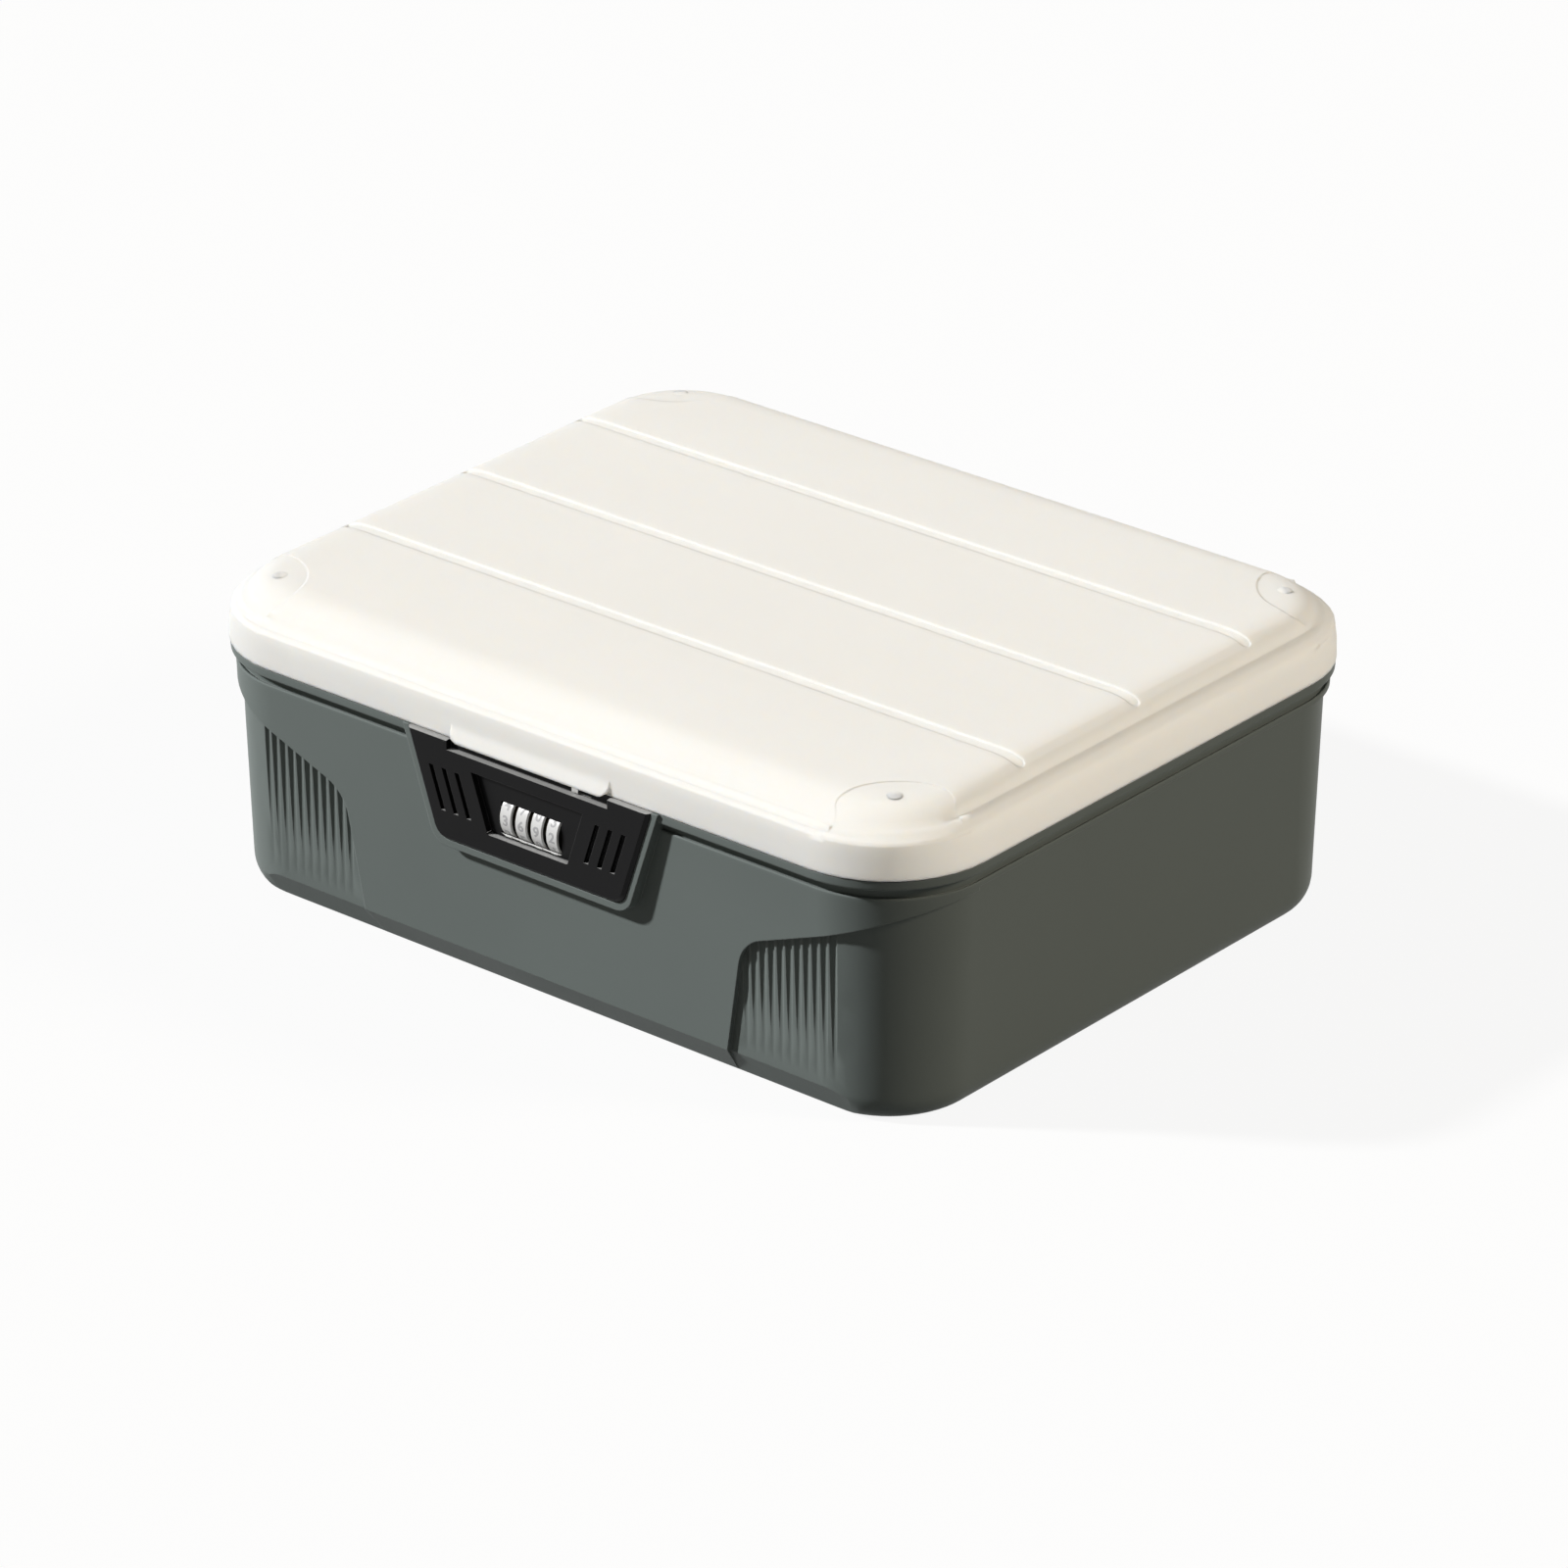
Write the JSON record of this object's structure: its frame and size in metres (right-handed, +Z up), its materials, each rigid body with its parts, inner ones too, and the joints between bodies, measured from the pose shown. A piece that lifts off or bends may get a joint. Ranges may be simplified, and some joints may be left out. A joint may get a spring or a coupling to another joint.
{
  "type": "combination lock box",
  "caption": "Moulded storage box with a hinged lid and a dial combination lock in its front wall, for keeping medicines, keys or cash together.",
  "frame": {"origin": "centre of the box's flat underside, midway between the lid's sides and between its front and back edges", "axes": "+X along the front from left to right seen from the front, -Y out of the front that carries the lock, +Z up"},
  "size_m": [0.3, 0.2517, 0.1068],
  "materials": {
    "tub_plastic": "fine satin texture",
    "lid_plastic": "satin",
    "lock_plastic": "satin",
    "dial_plastic": "semi-gloss",
    "ring_metal": "die cast, plain",
    "slide_brass": "plain",
    "steel": "pressed, zinc plated",
    "spring_steel": "spring temper",
    "screw_steel": "zinc plated",
    "pin_steel": "ground"
  },
  "bodies": {
    "base": {"base_tub": "tub_plastic", "lock_faceplate": "lock_plastic", "lock_case": "lock_plastic", "lock_cover": "lock_plastic", "dial_detent": "spring_steel", "spindle_detent": "spring_steel", "lock_screws": "screw_steel", "cover_screws": "screw_steel", "hinge_pin_left": "pin_steel", "hinge_pin_right": "pin_steel"},
    "lid": {"lid_shell": "lid_plastic", "strike_plate": "steel", "strike_screws": "screw_steel"},
    "dial_1": {"dial_wheel_1": "dial_plastic", "gate_ring_1": "ring_metal"},
    "dial_2": {"dial_wheel_2": "dial_plastic", "gate_ring_2": "ring_metal"},
    "dial_3": {"dial_wheel_3": "dial_plastic", "gate_ring_3": "ring_metal"},
    "dial_4": {"dial_wheel_4": "dial_plastic", "gate_ring_4": "ring_metal"},
    "bolt": {"locking_spindle": "steel", "latch_plate": "steel", "spindle_clip": "spring_steel"},
    "reset": {"code_slide": "slide_brass"}
  },
  "joints": [
    {"name": "lid_hinge", "type": "hinge", "parent": "base", "child": "lid", "pos_m": [0, 0.1251, 0.0826], "axis": [-1, 0, 0], "range_deg": [0, 105]},
    {"name": "dial_1_spin", "type": "hinge", "parent": "base", "child": "dial_1", "pos_m": [-0.0096, -0.1143, 0.0643], "axis": [1, 0, 0], "continuous": true},
    {"name": "dial_2_spin", "type": "hinge", "parent": "base", "child": "dial_2", "pos_m": [-0.0032, -0.1143, 0.0643], "axis": [1, 0, 0], "continuous": true},
    {"name": "dial_3_spin", "type": "hinge", "parent": "base", "child": "dial_3", "pos_m": [0.0032, -0.1143, 0.0643], "axis": [1, 0, 0], "continuous": true},
    {"name": "dial_4_spin", "type": "hinge", "parent": "base", "child": "dial_4", "pos_m": [0.0096, -0.1143, 0.0643], "axis": [1, 0, 0], "continuous": true},
    {"name": "bolt_slide", "type": "slide", "parent": "base", "child": "bolt", "axis": [1, 0, 0], "range_m": [0, 0.0038]},
    {"name": "reset_slide", "type": "slide", "parent": "base", "child": "reset", "axis": [1, 0, 0], "range_m": [0, 0.0025]}
  ]
}
